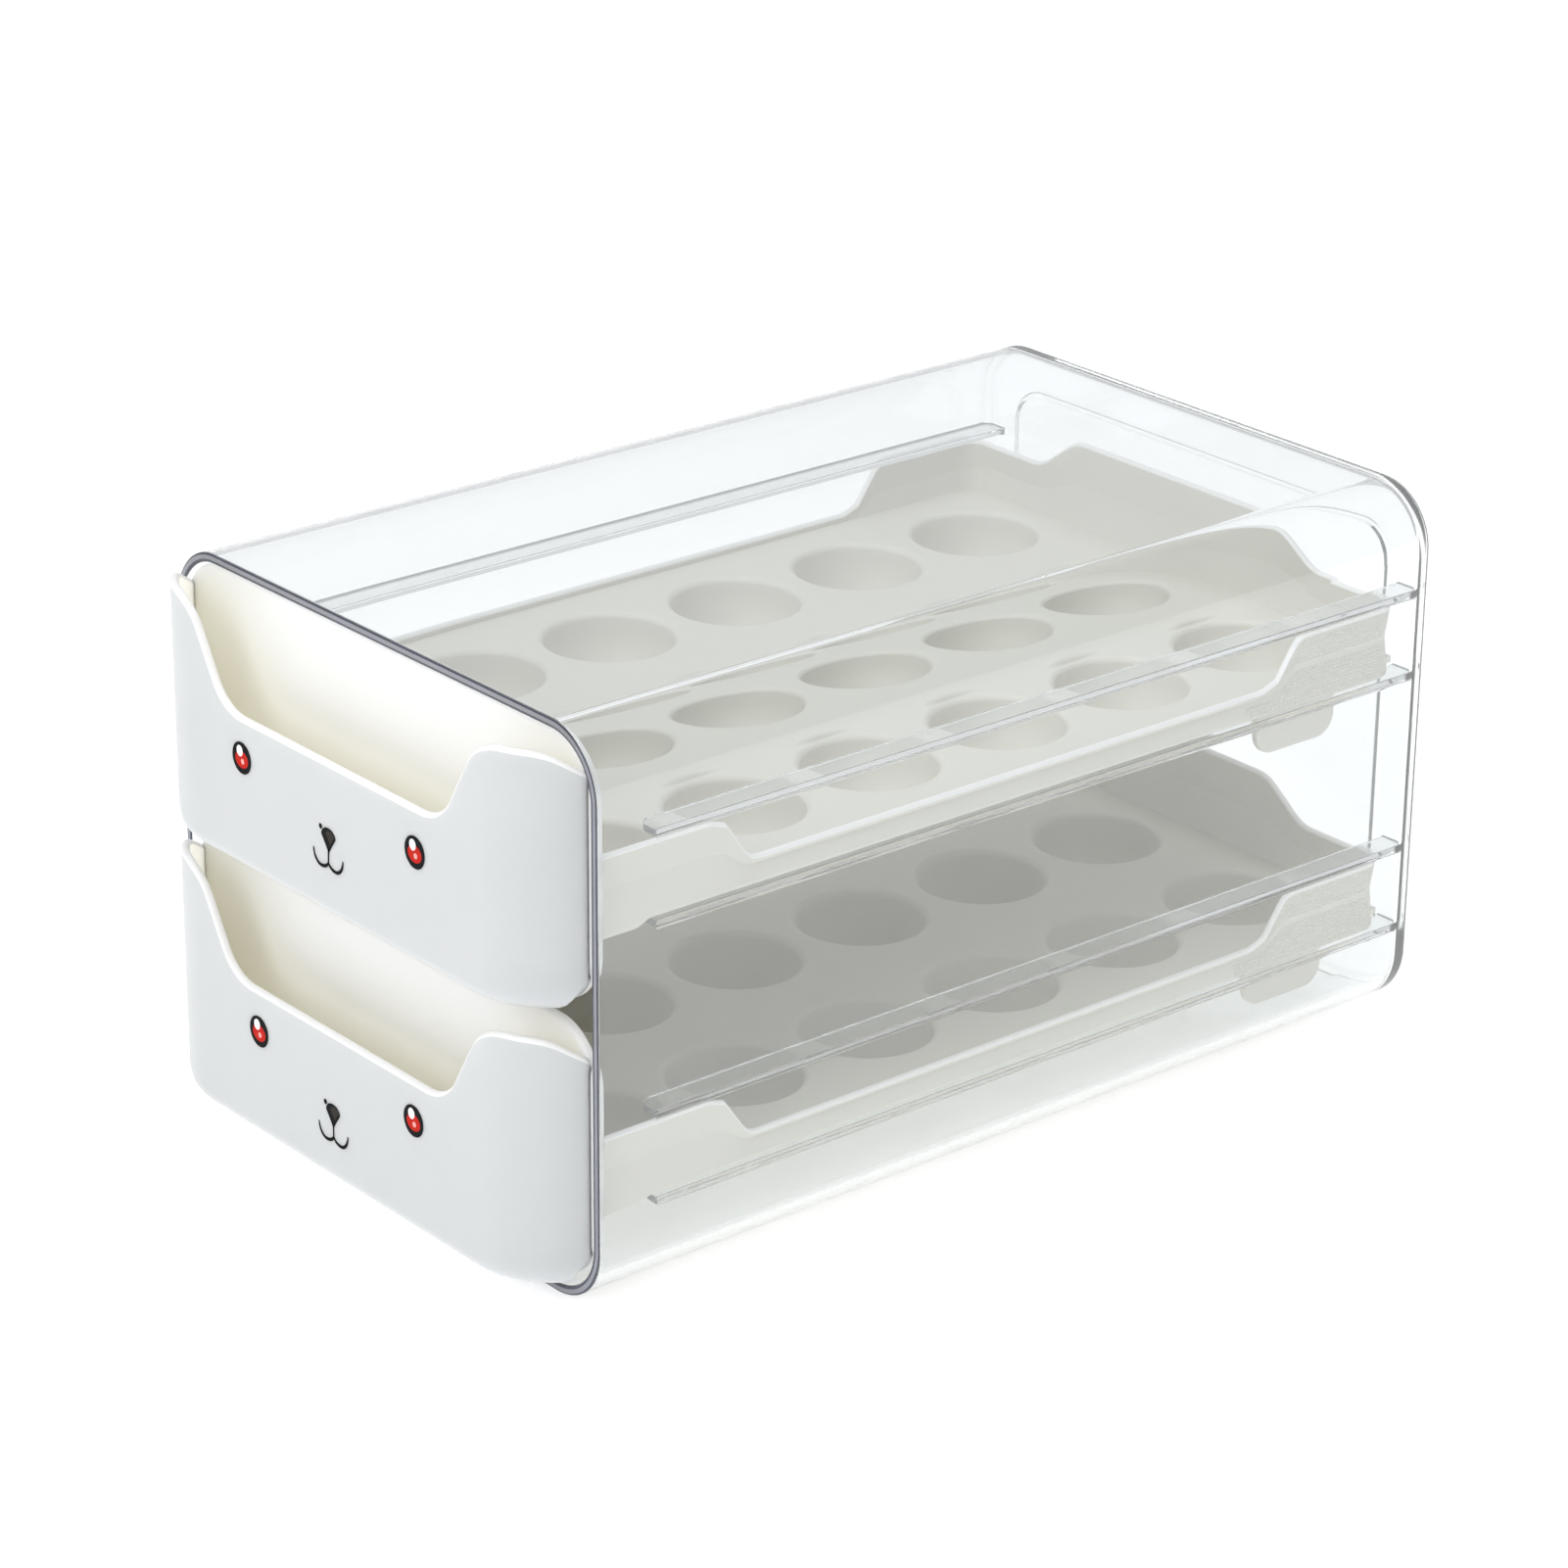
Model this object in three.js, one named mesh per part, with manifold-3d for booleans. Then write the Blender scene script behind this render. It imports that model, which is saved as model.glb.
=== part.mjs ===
// Two-tier egg drawer box: a clear open-fronted case on whose side ledges two white egg drawers slide.
// Millimetres, +Z up, front towards -Y. The origin is under the middle of the whole object's box.
import * as THREE from 'three';
import { mergeVertices } from 'three/addons/utils/BufferGeometryUtils.js';
import Module from 'manifold-3d';

const wasm = await Module();
wasm.setup();

// Driving dimensions. Depths (y) are counted from the case's front rim, back is positive.
const GAP = 0.3;                 // clearance between neighbouring solids
const CASE_WIDTH = 200;
const CASE_DEPTH = 319;
const CASE_HEIGHT = 172;
const CASE_WALL = 3;
const CASE_CORNER = 20;
const TIER_PITCH = 83.8;         // from the lower drawer to the upper one

const LEDGE_REACH = 9;           // how far a ledge stands out of the side wall
const LEDGE_THICKNESS = 2.1;
const LEDGE_FRONT = 21.3;
const LEDGE_HEIGHTS = [27.5, 54.1]; // undersides of the carrying and the anti-tip ledge in a tier
const LEDGE_NOSE = 5;            // radius of a ledge's front end

const PANEL_INSET = 18;          // border around the stiffening panel in the back wall
const PANEL_STEP = 1.2;
const PANEL_CORNER = 10;

const REACH = 16.8;              // how far a drawer front stands out of the case
const FRONT_HALF = CASE_WIDTH / 2 - CASE_WALL - 0.6;
const FRONT_BOTTOM = 6.5;
const FRONT_TOP = 84.6;
const FRONT_WALL = 2.6;
const PLATE_FRONT = 1;
const PLATE_BACK = 4;
const WRAP_RADIUS = 27;          // upright edges of the pocket, seen from above
const BOTTOM_CORNER = 17;
const TOP_CORNER = 17;
const EAR_TOP = 83;
const SIDE_TOP = 76.5;           // the pocket's side rim where it meets the case
const SCOOP_BOTTOM = 53.5;
const SCOOP_HALF = 52.3;         // half width of the scoop at its bottom, before the fillets
const SCOOP_SLOPE = Math.PI / 3;
const SCOOP_FILLET = 16;
const SIDE_SLOPE_FRONT = -9;     // where the side rim starts to fall from the ear's height
const SIDE_SLOPE_FILLET = 12;

const TRAY_WALL = 2.2;
const TRAY_HALF = CASE_WIDTH / 2 - CASE_WALL - 0.8;
const TRAY_FRONT = PLATE_BACK + GAP;
const TRAY_BACK = 309;
const TRAY_BOTTOM = LEDGE_HEIGHTS[0] + LEDGE_THICKNESS + GAP;
const TRAY_LIP_BOTTOM = 28;      // the front of the tray's side reaches down before the ledge
const TRAY_LIP_END = 16;
const TRAY_LIP_SLOPE = 4;        // run of the slope from the lip up to the tray's bottom
const TRAY_LIP_FILLET = 3;
const RIM_HIGH = 53;
const RIM_LOW = 38.8;
const RIM_FRONT_STEP = 50;       // middle of the step down behind the front
const RIM_BACK_STEP = 261;       // middle of the step up before the back
const RIM_STEP_HALF = 5;
const RIM_FILLET = 6;
const TRAY_HEEL = 8;             // radius of the tray's lower back edge
const TRAY_CORNER = 8;           // upright back corners
const BACK_ARCH_TOP = 65;
const BACK_ARCH_HALF = 45;
const BACK_ARCH_SLOPE = 16;      // run of the arch's slopes down to the rim
const BACK_ARCH_FILLET = 12;
const SIDE_FLANGE = 10.5;        // width of the tray's floor beside the egg rows
const BACK_FLANGE = 7;           // and behind them
const FOOT = { inner: 83.6, thickness: 2.4, front: 260, length: 33, bottom: 12, corner: 7 };

const ROWS = 6;
const CUPS_ACROSS = [-60, 0, 60];
const ROW_PITCH = 49.7;
const ROW_START = 4.6;
const DECK_THICKNESS = 2;
const CUP = { rim: 20, middle: 16.5, middleZ: 22.5, floor: 9.5, floorZ: 15.6, wall: 1.6 };
const CUP_SIDES = 16;

const DECK_BOTTOM = TRAY_BOTTOM + TRAY_WALL + GAP;
const DECK_TOP = DECK_BOTTOM + DECK_THICKNESS;
const FAR = 400;                 // longer than the object, for cutting tools
const OVERLAP = 0.5;             // how far joined shapes run into each other
const CURVE_STEPS = 6;

const finishes = {
  clear: { color: 0xe9f1f2, roughness: 0.05, metalness: 0, transparent: true, opacity: 0.3 },
  front: { color: 0xf6f6f2, roughness: 0.3, metalness: 0 },
  tray: { color: 0xe9e7de, roughness: 0.55, metalness: 0 },
  cups: { color: 0xf3f1ea, roughness: 0.45, metalness: 0 },
};

function solid(geometry) {
  geometry.deleteAttribute('normal');
  geometry.deleteAttribute('uv');
  const merged = mergeVertices(geometry, 1e-4);
  return new wasm.Manifold(new wasm.Mesh({
    numProp: 3,
    vertProperties: new Float32Array(merged.attributes.position.array),
    triVerts: new Uint32Array(merged.index.array),
  }));
}

function piece(name, body, finish) {
  const { vertProperties, triVerts } = body.getMesh();
  const geometry = new THREE.BufferGeometry();
  geometry.setAttribute('position', new THREE.BufferAttribute(vertProperties, 3));
  geometry.setIndex(new THREE.BufferAttribute(triVerts, 1));
  geometry.computeVertexNormals();
  const mesh = new THREE.Mesh(geometry, new THREE.MeshStandardMaterial(finish));
  mesh.name = name;
  return mesh;
}

// Extrusions of an outline seen from the front (x, z), from above (x, y) or from the right (y, z).
function extrude(outline, depth) {
  const options = { depth, bevelEnabled: false, curveSegments: CURVE_STEPS };
  return new THREE.ExtrudeGeometry(outline, options);
}

function fromFront(outline, y0, y1) {
  return solid(extrude(outline, y1 - y0).rotateX(Math.PI / 2).translate(0, y1, 0));
}

function fromAbove(outline, z0, z1) {
  return solid(extrude(outline, z1 - z0).translate(0, 0, z0));
}

function fromSide(outline, x0, x1) {
  const toSide = new THREE.Matrix4().makeBasis(
    new THREE.Vector3(0, 1, 0), new THREE.Vector3(0, 0, 1), new THREE.Vector3(1, 0, 0));
  return solid(extrude(outline, x1 - x0).applyMatrix4(toSide).translate(x0, 0, 0));
}

// A closed outline through the given corners; a corner [x, y, r] is rounded with radius r.
function outline(corners) {
  const shape = new THREE.Shape();
  corners.forEach(([x, y, radius = 0], i) => {
    const corner = new THREE.Vector2(x, y);
    const [before, after] = [corners.at(i - 1), corners[(i + 1) % corners.length]]
      .map(([u, v]) => new THREE.Vector2(u, v).sub(corner).normalize());
    const turn = before.angleTo(after);
    const tangent = radius / Math.tan(turn / 2);
    const start = corner.clone().addScaledVector(before, tangent);
    if (i === 0) shape.moveTo(start.x, start.y);
    else shape.lineTo(start.x, start.y);
    if (radius === 0) return;
    const bisector = before.clone().add(after).normalize();
    const centre = corner.clone().addScaledVector(bisector, radius / Math.sin(turn / 2));
    const end = corner.clone().addScaledVector(after, tangent);
    const from = start.sub(centre).angle();
    const to = end.sub(centre).angle();
    const clockwise = before.cross(after) > 0;
    shape.absarc(centre.x, centre.y, radius, from, to, clockwise);
  });
  return shape;
}

function rectangle(x0, y0, x1, y1, lower, upper = lower) {
  return outline([[x0, y0, lower], [x1, y0, lower], [x1, y1, upper], [x0, y1, upper]]);
}

// ---- clear case -------------------------------------------------------------------------------

function caseOutline(inset) {
  const half = CASE_WIDTH / 2 - inset;
  return rectangle(-half, inset, half, CASE_HEIGHT - inset, CASE_CORNER - inset);
}

function ledge(side, underside) {
  const inner = CASE_WIDTH / 2 - CASE_WALL - LEDGE_REACH;
  const outer = CASE_WIDTH / 2 - CASE_WALL + OVERLAP;
  const back = CASE_DEPTH - CASE_WALL + OVERLAP;
  const plan = outline([
    [side * inner, LEDGE_FRONT, LEDGE_NOSE], [side * outer, LEDGE_FRONT],
    [side * outer, back], [side * inner, back],
  ]);
  return fromAbove(plan, underside, underside + LEDGE_THICKNESS);
}

function backPanel(grow, y0, y1) {
  const inset = PANEL_INSET - grow;
  const half = CASE_WIDTH / 2 - inset;
  const shape = rectangle(-half, inset, half, CASE_HEIGHT - inset, PANEL_CORNER + grow);
  return fromFront(shape, y0, y1);
}

function caseShell() {
  const back = CASE_DEPTH - CASE_WALL;
  let shell = fromFront(caseOutline(0), 0, CASE_DEPTH)
    .subtract(fromFront(caseOutline(CASE_WALL), -1, back))
    .add(backPanel(PANEL_STEP, back - PANEL_STEP, back + OVERLAP))
    .subtract(backPanel(0, CASE_DEPTH - PANEL_STEP, CASE_DEPTH + 1));
  for (const tier of [0, TIER_PITCH]) {
    for (const underside of LEDGE_HEIGHTS) {
      for (const side of [-1, 1]) shell = shell.add(ledge(side, tier + underside));
    }
  }
  return shell;
}

// ---- drawer front: a pocket to pull by, in front of a plate that closes the case ----------------

function pocketBlock(inset, top, topCorner, y1) {
  const half = FRONT_HALF - inset;
  const faceOutline = rectangle(-half, FRONT_BOTTOM + inset, half, top, BOTTOM_CORNER - inset, topCorner);
  const planOutline = outline([
    [-half, -REACH + inset, WRAP_RADIUS - inset], [half, -REACH + inset, WRAP_RADIUS - inset],
    [half, FAR], [-half, FAR],
  ]);
  return fromFront(faceOutline, -REACH - 1, y1).intersect(fromAbove(planOutline, 0, FAR));
}

// Everything above the ears, the scoop between them and the sloping side rims.
function rimCutter() {
  const slopeRun = (EAR_TOP - SCOOP_BOTTOM) / Math.tan(SCOOP_SLOPE);
  const face = outline([
    [-SCOOP_HALF, SCOOP_BOTTOM, SCOOP_FILLET], [SCOOP_HALF, SCOOP_BOTTOM, SCOOP_FILLET],
    [SCOOP_HALF + slopeRun, EAR_TOP, SCOOP_FILLET], [FAR, EAR_TOP], [FAR, FAR], [-FAR, FAR],
    [-FAR, EAR_TOP], [-SCOOP_HALF - slopeRun, EAR_TOP, SCOOP_FILLET],
  ]);
  const side = outline([
    [-FAR, EAR_TOP], [SIDE_SLOPE_FRONT, EAR_TOP, SIDE_SLOPE_FILLET], [PLATE_FRONT, SIDE_TOP],
    [PLATE_FRONT, FAR], [-FAR, FAR],
  ]);
  return fromFront(face, -FAR, PLATE_FRONT).add(fromSide(side, -FAR, FAR));
}

function drawerFront() {
  const pocket = pocketBlock(0, FRONT_TOP, TOP_CORNER, PLATE_FRONT + OVERLAP)
    .subtract(pocketBlock(FRONT_WALL, FAR, 0, PLATE_FRONT))
    .subtract(rimCutter());
  const plate = rectangle(-FRONT_HALF, FRONT_BOTTOM, FRONT_HALF, FRONT_TOP, BOTTOM_CORNER, TOP_CORNER);
  return fromFront(plate, PLATE_FRONT, PLATE_BACK).add(pocket);
}

// ---- tray: side walls on the ledges, a back wall, and a floor flange around the egg rows --------

// The tray's outer outline seen from the right: lip, heel and the rim with its low middle stretch.
function traySideOutline() {
  return outline([
    [TRAY_FRONT, TRAY_LIP_BOTTOM], [TRAY_LIP_END, TRAY_LIP_BOTTOM, TRAY_LIP_FILLET],
    [TRAY_LIP_END + TRAY_LIP_SLOPE, TRAY_BOTTOM, TRAY_LIP_FILLET],
    [TRAY_BACK, TRAY_BOTTOM, TRAY_HEEL], [TRAY_BACK, RIM_HIGH],
    [RIM_BACK_STEP + RIM_STEP_HALF, RIM_HIGH, RIM_FILLET],
    [RIM_BACK_STEP - RIM_STEP_HALF, RIM_LOW, RIM_FILLET],
    [RIM_FRONT_STEP + RIM_STEP_HALF, RIM_LOW, RIM_FILLET],
    [RIM_FRONT_STEP - RIM_STEP_HALF, RIM_HIGH, RIM_FILLET], [TRAY_FRONT, RIM_HIGH],
  ]);
}

// Everything above the tray's floor and in front of its back wall, with a round heel.
function trayProfile(inset) {
  const bottom = TRAY_BOTTOM + inset;
  const back = TRAY_BACK - inset;
  return outline([
    [TRAY_FRONT - 1, bottom], [back, bottom, TRAY_HEEL - inset], [back, FAR], [TRAY_FRONT - 1, FAR],
  ]);
}

function trayPlan(inset) {
  const half = TRAY_HALF - inset;
  const back = TRAY_BACK - inset;
  const front = TRAY_FRONT - (inset > 0 ? 1 : 0);
  return rectangle(-half, front, half, back, 0, TRAY_CORNER - inset);
}

function backArch() {
  const end = BACK_ARCH_HALF + BACK_ARCH_SLOPE;
  const shape = outline([
    [-FAR, 0], [FAR, 0], [FAR, RIM_HIGH], [end, RIM_HIGH, BACK_ARCH_FILLET],
    [BACK_ARCH_HALF, BACK_ARCH_TOP, BACK_ARCH_FILLET],
    [-BACK_ARCH_HALF, BACK_ARCH_TOP, BACK_ARCH_FILLET],
    [-end, RIM_HIGH, BACK_ARCH_FILLET], [-FAR, RIM_HIGH],
  ]);
  const envelope = fromSide(trayProfile(0), -FAR, FAR);
  return fromFront(shape, TRAY_BACK - TRAY_CORNER, TRAY_BACK + 1).intersect(envelope);
}

function foot(side) {
  const shape = rectangle(FOOT.front, FOOT.bottom, FOOT.front + FOOT.length, DECK_BOTTOM - 1, FOOT.corner, 0);
  const inner = side * FOOT.inner;
  const outer = side * (FOOT.inner + FOOT.thickness);
  return fromSide(shape, Math.min(inner, outer), Math.max(inner, outer));
}

function tray() {
  const height = fromSide(traySideOutline(), -FAR, FAR).add(backArch());
  const hollow = fromAbove(trayPlan(TRAY_WALL), 0, FAR)
    .intersect(fromSide(trayProfile(TRAY_WALL), -FAR, FAR));
  const opening = TRAY_HALF - TRAY_WALL - SIDE_FLANGE;
  const window = rectangle(-opening, TRAY_FRONT - 1, opening, TRAY_BACK - TRAY_WALL - BACK_FLANGE, 0);
  return fromAbove(trayPlan(0), 0, FAR)
    .intersect(height)
    .subtract(hollow)
    .subtract(fromAbove(window, 0, FAR))
    .add(foot(-1))
    .add(foot(1));
}

// ---- egg rows: a strip of deck with three cups, repeated along the tray -------------------------

function cupProfile(grow, top) {
  const floor = CUP.floorZ - grow;
  return [[0, floor], [CUP.floor + grow / 2, floor], [CUP.middle + grow, CUP.middleZ], [CUP.rim + grow, DECK_TOP],
    [CUP.rim + grow, top], [0, top]].map(([r, z]) => new THREE.Vector2(r, z));
}

function cupSolid(x, y, grow, top) {
  const lathe = new THREE.LatheGeometry(cupProfile(grow, top), CUP_SIDES);
  return solid(lathe.rotateX(Math.PI / 2).translate(x, y, 0));
}

function eggRow(index) {
  const front = ROW_START + index * ROW_PITCH;
  const back = front + ROW_PITCH - GAP;
  const middle = (front + back) / 2;
  const half = TRAY_HALF - TRAY_WALL - GAP;
  let row = fromAbove(rectangle(-half, front, half, back, 0), DECK_BOTTOM, DECK_TOP);
  for (const x of CUPS_ACROSS) row = row.add(cupSolid(x, middle, CUP.wall, DECK_TOP));
  for (const x of CUPS_ACROSS) row = row.subtract(cupSolid(x, middle, 0, DECK_TOP + 1));
  return row;
}

// ---- the whole object -------------------------------------------------------------------------

function drawer(tierName, lift) {
  const group = new THREE.Group();
  group.position.z = lift;
  group.add(piece(`${tierName}_drawer_front`, drawerFront(), finishes.front));
  group.add(piece(`${tierName}_tray`, tray(), finishes.tray));
  for (let i = 0; i < ROWS; i += 1) {
    group.add(piece(`${tierName}_egg_row_${i + 1}`, eggRow(i), finishes.cups));
  }
  return group;
}

const eggBox = new THREE.Group();
eggBox.position.y = -(CASE_DEPTH - REACH) / 2;
eggBox.add(piece('case_shell', caseShell(), finishes.clear));
eggBox.add(drawer('lower', 0));
eggBox.add(drawer('upper', TIER_PITCH));

export default eggBox;
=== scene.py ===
"""Looks for the two-tier egg drawer box: a clear case and two white egg drawers with printed faces.

Shapes are built in millimetres in the case's own coordinates: x to the right, y back from the case's front
rim and z up from what it stands on. place() turns them into metres in the row frame.
"""
import math

import bmesh
import bpy
from mathutils import Matrix, Vector


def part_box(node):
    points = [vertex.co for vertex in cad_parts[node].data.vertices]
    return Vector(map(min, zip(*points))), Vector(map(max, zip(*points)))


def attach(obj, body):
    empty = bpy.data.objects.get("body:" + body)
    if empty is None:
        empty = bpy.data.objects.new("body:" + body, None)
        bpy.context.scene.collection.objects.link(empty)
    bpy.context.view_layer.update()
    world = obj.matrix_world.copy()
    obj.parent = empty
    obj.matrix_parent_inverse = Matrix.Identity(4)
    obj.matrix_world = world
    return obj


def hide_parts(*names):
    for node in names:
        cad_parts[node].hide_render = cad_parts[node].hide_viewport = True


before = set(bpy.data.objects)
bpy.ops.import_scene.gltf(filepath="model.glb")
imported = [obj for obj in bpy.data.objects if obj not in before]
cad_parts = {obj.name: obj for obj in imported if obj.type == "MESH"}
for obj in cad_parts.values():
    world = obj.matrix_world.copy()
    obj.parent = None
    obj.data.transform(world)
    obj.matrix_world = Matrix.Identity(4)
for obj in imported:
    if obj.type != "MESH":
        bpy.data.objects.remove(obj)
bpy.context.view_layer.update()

MM = 0.001
CASE_LOW, CASE_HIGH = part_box("case_shell")
FRONT_LOW, FRONT_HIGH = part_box("lower_drawer_front")
_, TRAY_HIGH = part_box("lower_tray")
TIER_PITCH = (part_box("upper_drawer_front")[0].z - FRONT_LOW.z) / MM
TIERS = {"lower": 0.0, "upper": TIER_PITCH}
MERGE_DISTANCE = 1e-7
SMOOTH_BELOW = math.radians(40)   # edges that turn less than this are shaded smooth
FLAT = 0.001                      # what counts as no distance at all

# Clear case
CASE_HALF = CASE_HIGH.x / MM
CASE_DEPTH = (CASE_HIGH.y - CASE_LOW.y) / MM
CASE_HEIGHT = CASE_HIGH.z / MM
CASE_WALL = 3.0
CASE_SMOOTH_BELOW = math.radians(50)
CASE_CORNER = 20.0
RIM_EDGE = 0.7                    # rounding of the case's open rim
RIM_SHADE_LINE = 0.35                   # how far the rim's painted dark shade line runs onto its flat
RIM_SHADE_DEPTH = 0.3 * RIM_EDGE   # how far back from the rim's plane its painted shade reaches
REAR_EDGE = 3.0                   # outer rounding between the side and back walls
REAR_FLAT = (9.0, 11.0)           # inset and corner of the back wall's flat, outside
LEDGE_UNDERSIDES = (27.5, 54.1)   # in a tier: the carrying and the anti-tip ledge
LEDGE_THICKNESS = 2.1
LEDGE_REACH = 9.0
LEDGE_FRONT = 21.3
LEDGE_NOSE = 5.0
LEDGE_NOSE_LEAN = 0.1             # how far a nose's flat end leans forward, down to the wall
LEDGE_GAP = 0.3                   # between a tray and the ledges that carry it
LEDGE_EDGE = 0.6
LEDGE_FILLET = 0.6
LEDGE_DRAFT = 0.06
PANEL_INSET = 18.0
PANEL_CORNER = 10.0
PANEL_STEP = 1.2
PANEL_SLOPE = (                   # the panel's border: how far out and forward, in PANEL_STEPs
    (0.0, 1.0), (0.3, 0.96), (0.8, 0.75), (1.2, 0.25), (1.7, 0.04), (2.0, 0.0),
)
BACK_MARGIN = 1.5                 # from the ledges' reach to the back wall's next section
BACK_CORNER = PANEL_CORNER + 2.0

# Drawer front
REACH = (CASE_LOW.y - FRONT_LOW.y) / MM
FRONT_HALF = FRONT_HIGH.x / MM
FRONT_BOTTOM = FRONT_LOW.z / MM
FRONT_TOP = FRONT_HIGH.z / MM
PLATE_BACK = (FRONT_HIGH.y - CASE_LOW.y) / MM
PLATE_FRONT = 1.0
POCKET_END = PLATE_FRONT + 0.5    # the pocket's wall runs this far back, into the plate
PLATE_CORNER = 17.0
PLATE_EDGE = 1.1
FRONT_WALL = 2.6
INK_DEPTH = 0.1                   # the printed face lies in this depth, flush with the front's box
WRAP_RADIUS = 27.0
BOTTOM_CORNER = 17.0              # the pocket's lower corners at the plate
POCKET_CORNER = 7.0               # the same corners away from the case, on the outside
CORNER_BLEND = (-9.0, -0.4)       # depths between which one grows into the other
BOTTOM_EDGE = 3.0
EAR_TOP = 83.0
SIDE_TOP = 76.5                   # height of the pocket's sides where they meet the plate
SIDE_KNEE = -9.0                  # depth at which an ear's top starts down to SIDE_TOP
SIDE_FILLET = 12.0
SIDE_SLOPE = 0.65                 # of the same line behind the plate's front
POCKET_ROWS = (8, 16, 4)          # of a skin: upright, round the lower corners and underneath
POCKET_LIP_STEPS = 8
SCOOP_BOTTOM = 53.5
SCOOP_HALF = 52.3
SCOOP_SLOPE = math.radians(60)
SCOOP_FILLET = 16.0
SCOOP_RUN = (EAR_TOP - SCOOP_BOTTOM) / math.tan(SCOOP_SLOPE)

# Tray and deck
TRAY_HALF = TRAY_HIGH.x / MM
TRAY_BACK = (TRAY_HIGH.y - CASE_LOW.y) / MM
TRAY_WALL = 2.2
TRAY_BOTTOM = LEDGE_UNDERSIDES[0] + LEDGE_THICKNESS + LEDGE_GAP
TRAY_CORNER = 8.0
TRAY_HEEL = 8.0
TRAY_EDGE = 1.8
TRAY_OVERLAP = 1.0                # how far the side walls run into the plate
TRAY_PITCH = 6.0                  # between sections along a side wall
BACK_PITCH = 3.0                  # between sections along the back wall
FINE_PITCH = 1.2                  # between sections next to a change of height
FINE_REACH = 9.0
UNDERSIDE_INSETS = (8, 6.6, 5.2, 3.9, 2.8, 1.8, 1.2, 0.7, 0.35, 0.1, 0)
WEAVE_START = 245.0               # where the fine diagonal texture of a tray's sides begins
WEAVE_PITCH = 2.2
LIP_BOTTOM = 28.0                 # the side walls' lowered front end
LIP_END = 18.0
LIP_RUN = 2.0
LIP_FILLET = 3.0
RIM_HIGH = 53.0
RIM_LOW = 38.8
RIM_STEPS = (50.0, 261.0)         # depths of the middle of each slope in the side walls' rim
RIM_STEP_RUN = 5.0
RIM_STEP_FILLET = 6.0
RIM_ROUND_STEPS = 8
ARCH_TOP = TRAY_HIGH.z / MM
ARCH_HALF = 45.0
ARCH_RUN = 16.0
ARCH_FILLET = 12.0
FLANGE_SIDE = 12.7
FLANGE_BACK = 9.2
FLANGE_EDGE = 0.6
DECK_BOTTOM = 34.2
DECK_TOP = 36.2
FLANGE_TOP = DECK_TOP - 1.0
FLANGE_LEDGE = DECK_BOTTOM + 0.5
DECK_OVERLAP = 0.6                # how far the deck runs into the walls round it
CELL_HALF = 30.0                  # half the width of the middle cups' cells
CELL_STEPS = 12                   # stretches along each side of a cell
RIGHT, BACK, LEFT, FRONT = range(4)   # a cell's sides, in the order of its border
CUPS_ACROSS = (-60.0, 0.0, 60.0)
CUP_ROWS = 6
ROW_PITCH = 49.7
ROW_START = 4.45
CUP_RADIUS = 20.0
CUP_DEPTH = 20.6
CUP_FLOOR = 8.5
CUP_WALL = 1.6
CUP_LIP = 2.4                     # fillet from the deck into a cup
CUP_LIP_LEAN = 12                 # degrees from upright at which the fillet meets the cup
CUP_RINGS = 14
CUP_FULLNESS = 2.4                # exponent of a cup's section; 2 would make it an ellipse
CUP_STRETCH = 1.04                # depth of that section over the cup's own
CUP_MIDDLE = 0.6                  # innermost ring, as a share of the cup's flat floor
DECK_SKINS = (                    # height, wall thickness outside the cup and fillet
    (DECK_TOP, 0.0, CUP_LIP),
    (DECK_BOTTOM, CUP_WALL, CUP_LIP - 1.0),
)
FOOT_INNER = 83.6
FOOT_THICKNESS = 2.4
FOOT_FRONT = 260.0
FOOT_LENGTH = 33.0
FOOT_BOTTOM = 12.0
FOOT_CORNER = 7.0
FOOT_EDGE = 0.6
FOOT_TOP = DECK_BOTTOM + 0.5

# Printed face
INK_COLOURS = {
    "black": (0.003, 0.003, 0.004),
    "red": (0.46, 0.014, 0.007),
    "white": (0.85, 0.83, 0.83),
    "slate": (0.03, 0.026, 0.022),
    "pink": (0.75, 0.35, 0.32),
}
INK_FILM = 0.02                   # how far each layer of ink stands in front of the one below
INK_ROOT = 0.2                    # how far the ink reaches into the front's face
FACES = {
    "lower": {"eyes": [(-39.3, 40.3), (37.0, 41.2)], "nose": (-2.6, 28.4), "mouth": (-2.6, 21.0)},
    "upper": {"eyes": [(-43.2, 41.1), (40.4, 40.3)], "nose": (-0.9, 31.0), "mouth": (-1.2, 23.4)},
}
EYE_OVALS = (                     # ink, layer, middle (x, z) from the eye's, width and height
    ("black", 0, (0.0, 0.0), (9.4, 9.8)),
    ("red", 1, (0.0, -0.5), (6.4, 5.2)),
    ("white", 2, (-0.9, 2.0), (3.0, 3.4)),
    ("pink", 2, (0.4, -1.0), (1.6, 1.7)),
)
NOSE_DROPS = (                    # the same for the nose
    ("black", 0, (0.0, 0.0), (7.0, 8.2)),
    ("slate", 1, (0.8, 0.5), (4.0, 4.4)),
)
NOSE_SHARES = (0.32, 0.68)        # of its height above and below its broadest line
NOSE_POINT = 0.8                  # exponent of the lower part's taper
NOSE_SLIM = 0.25
DOT_AT = (-3.7, 2.1)              # the dot beside the nose
DOT_SIZE = (1.6, 1.7)
STEM_DROP = 3.6                   # from the nose's broadest line to the top of the mouth's stem
STEM_WIDTH = 0.75
STEM_STEPS = 6
CURL_WIDTH = 1.1
CURL_TAPER = 0.5
CURL_INNER = (3.5, 2.2)           # width and height of a curl's inner and outer part
CURL_OUTER = (3.6, 4.5)
CURL_STEPS = 24


# ---- mesh helpers ------------------------------------------------------------------------------

def place(point, lift=0.0):
    """A point in the case's coordinates, raised by lift, as metres in the row frame."""
    x, y, z = point
    return (x * MM, CASE_LOW.y + y * MM, (z + lift) * MM)


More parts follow.
